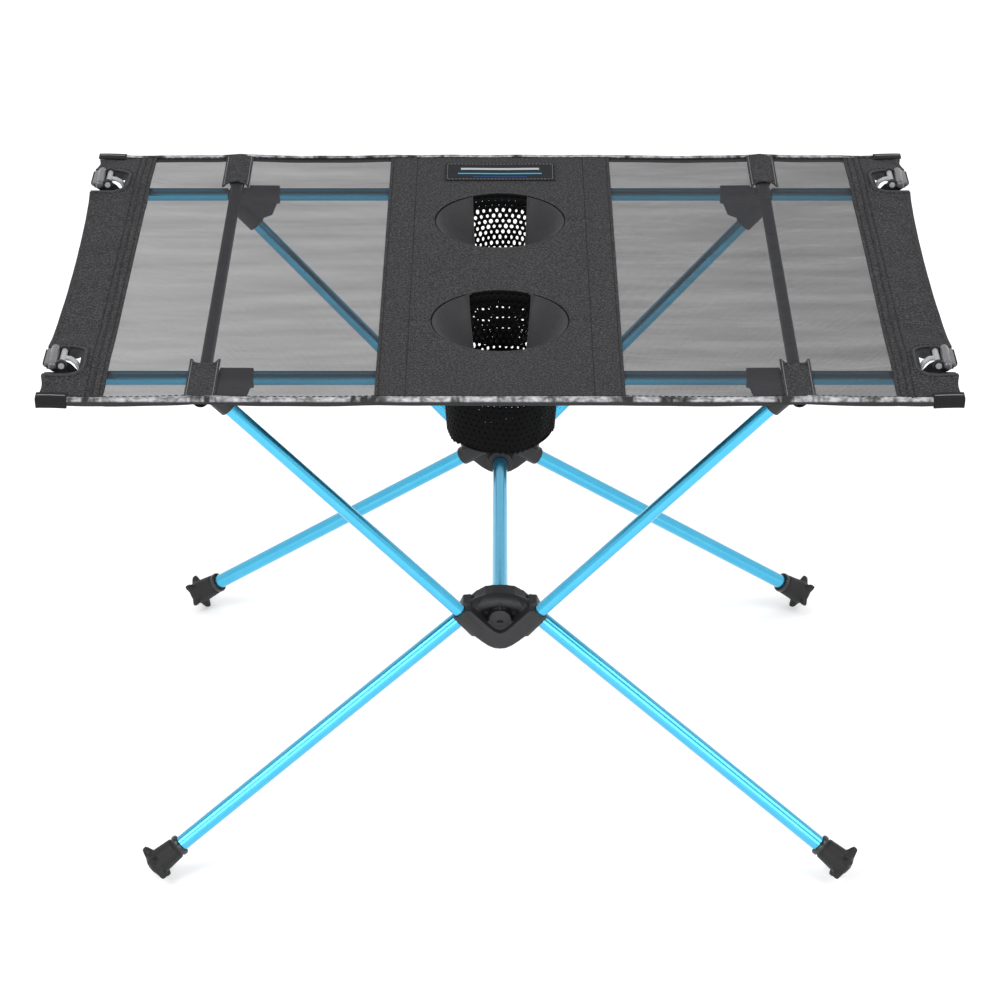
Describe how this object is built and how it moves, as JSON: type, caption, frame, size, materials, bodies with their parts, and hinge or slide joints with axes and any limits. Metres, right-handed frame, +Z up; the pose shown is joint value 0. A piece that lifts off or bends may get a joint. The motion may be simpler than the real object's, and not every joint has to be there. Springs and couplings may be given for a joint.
{
  "type": "folding camp table",
  "caption": "Low folding camp table: crossed alloy legs and struts in plastic hubs carry a stretched fabric top with see-through mesh wings and net cup holders.",
  "frame": {"origin": "on the floor, under the middle of the top", "axes": "+X along the long side to the right, +Y across the top away from the front, +Z up"},
  "size_m": [0.6, 0.4, 0.3951],
  "materials": {
    "tube_blue": "satin anodised sky blue",
    "tube_dark": "satin dark grey",
    "hub_plastic": "matt moulded charcoal",
    "buckle_plastic": "semi-gloss moulded grey",
    "foot_rubber": "matt black",
    "canvas": "dark charcoal heather woven",
    "mesh": "fine see-through woven mesh",
    "net": "black open knit net",
    "binding": "dark folded tape with worn pale edges",
    "webbing": "black woven webbing",
    "cord": "braided elastic cord",
    "label": "woven patch, plain stripes"
  },
  "bodies": {
    "frame": {"spreader_tube": "tube_blue", "strut_tube_front_left": "tube_blue", "rail_end_front_left": "tube_blue", "rail_joint_front_left": "hub_plastic", "rail_tip_front_left": "buckle_plastic", "strap_front_left": "webbing", "pole_pocket_front_left": "webbing", "strut_tube_front_right": "tube_blue", "rail_end_front_right": "tube_blue", "rail_joint_front_right": "hub_plastic", "rail_tip_front_right": "buckle_plastic", "strap_front_right": "webbing", "pole_pocket_front_right": "webbing", "strut_tube_rear_left": "tube_blue", "rail_end_rear_left": "tube_blue", "rail_joint_rear_left": "hub_plastic", "rail_tip_rear_left": "buckle_plastic", "strap_rear_left": "webbing", "pole_pocket_rear_left": "webbing", "strut_tube_rear_right": "tube_blue", "rail_end_rear_right": "tube_blue", "rail_joint_rear_right": "hub_plastic", "rail_tip_rear_right": "buckle_plastic", "strap_rear_right": "webbing", "pole_pocket_rear_right": "webbing", "rail_centre_front": "tube_blue", "shock_cord_front": "cord", "hub_front": "hub_plastic", "edge_binding_front": "binding", "cup_rim_front": "canvas", "cup_net_front": "net", "rail_centre_rear": "tube_blue", "shock_cord_rear": "cord", "hub_rear": "hub_plastic", "edge_binding_rear": "binding", "cup_rim_rear": "canvas", "cup_net_rear": "net", "cross_pole_left": "tube_dark", "mesh_panel_left": "mesh", "end_panel_left": "canvas", "cross_pole_right": "tube_dark", "mesh_panel_right": "mesh", "end_panel_right": "canvas", "centre_panel": "canvas", "label_patch": "label"},
    "leg_front_left": {"leg_tube_front_left": "tube_blue", "foot_front_left": "foot_rubber"},
    "leg_front_right": {"leg_tube_front_right": "tube_blue", "foot_front_right": "foot_rubber"},
    "leg_rear_left": {"leg_tube_rear_left": "tube_blue", "foot_rear_left": "foot_rubber"},
    "leg_rear_right": {"leg_tube_rear_right": "tube_blue", "foot_rear_right": "foot_rubber"},
    "lever_front_left": {"buckle_front_left": "buckle_plastic"},
    "lever_front_right": {"buckle_front_right": "buckle_plastic"},
    "lever_rear_left": {"buckle_rear_left": "buckle_plastic"},
    "lever_rear_right": {"buckle_rear_right": "buckle_plastic"},
    "base_front": {"cup_base_front": "net"},
    "base_rear": {"cup_base_rear": "net"}
  },
  "joints": [
    {"name": "leg_pull_front_left", "type": "slide", "parent": "frame", "child": "leg_front_left", "axis": [-0.7738, -0.2448, -0.5843], "range_m": [0, 0.03], "stiffness_N_per_m": 200, "springref_m": -0.05},
    {"name": "leg_pull_front_right", "type": "slide", "parent": "frame", "child": "leg_front_right", "axis": [0.7738, -0.2448, -0.5843], "range_m": [0, 0.03], "stiffness_N_per_m": 200, "springref_m": -0.05},
    {"name": "leg_pull_rear_left", "type": "slide", "parent": "frame", "child": "leg_rear_left", "axis": [-0.7738, 0.2448, -0.5843], "range_m": [0, 0.03], "stiffness_N_per_m": 200, "springref_m": -0.05},
    {"name": "leg_pull_rear_right", "type": "slide", "parent": "frame", "child": "leg_rear_right", "axis": [0.7738, 0.2448, -0.5843], "range_m": [0, 0.03], "stiffness_N_per_m": 200, "springref_m": -0.05},
    {"name": "buckle_tilt_front_left", "type": "hinge", "parent": "frame", "child": "lever_front_left", "pos_m": [-0.2875, -0.147, 0.391], "axis": [0, 1, 0], "range_deg": [0, 30], "deforming": ["strap_front_left"]},
    {"name": "buckle_tilt_front_right", "type": "hinge", "parent": "frame", "child": "lever_front_right", "pos_m": [0.2875, -0.147, 0.391], "axis": [0, -1, 0], "range_deg": [0, 30], "deforming": ["strap_front_right"]},
    {"name": "buckle_tilt_rear_left", "type": "hinge", "parent": "frame", "child": "lever_rear_left", "pos_m": [-0.2875, 0.147, 0.391], "axis": [0, 1, 0], "range_deg": [0, 30], "deforming": ["strap_rear_left"]},
    {"name": "buckle_tilt_rear_right", "type": "hinge", "parent": "frame", "child": "lever_rear_right", "pos_m": [0.2875, 0.147, 0.391], "axis": [0, -1, 0], "range_deg": [0, 30], "deforming": ["strap_rear_right"]},
    {"name": "cup_lift_front", "type": "slide", "parent": "frame", "child": "base_front", "axis": [0, 0, 1], "range_m": [0, 0.05], "deforming": ["cup_net_front"]},
    {"name": "cup_lift_rear", "type": "slide", "parent": "frame", "child": "base_rear", "axis": [0, 0, 1], "range_m": [0, 0.05], "deforming": ["cup_net_rear"]}
  ]
}
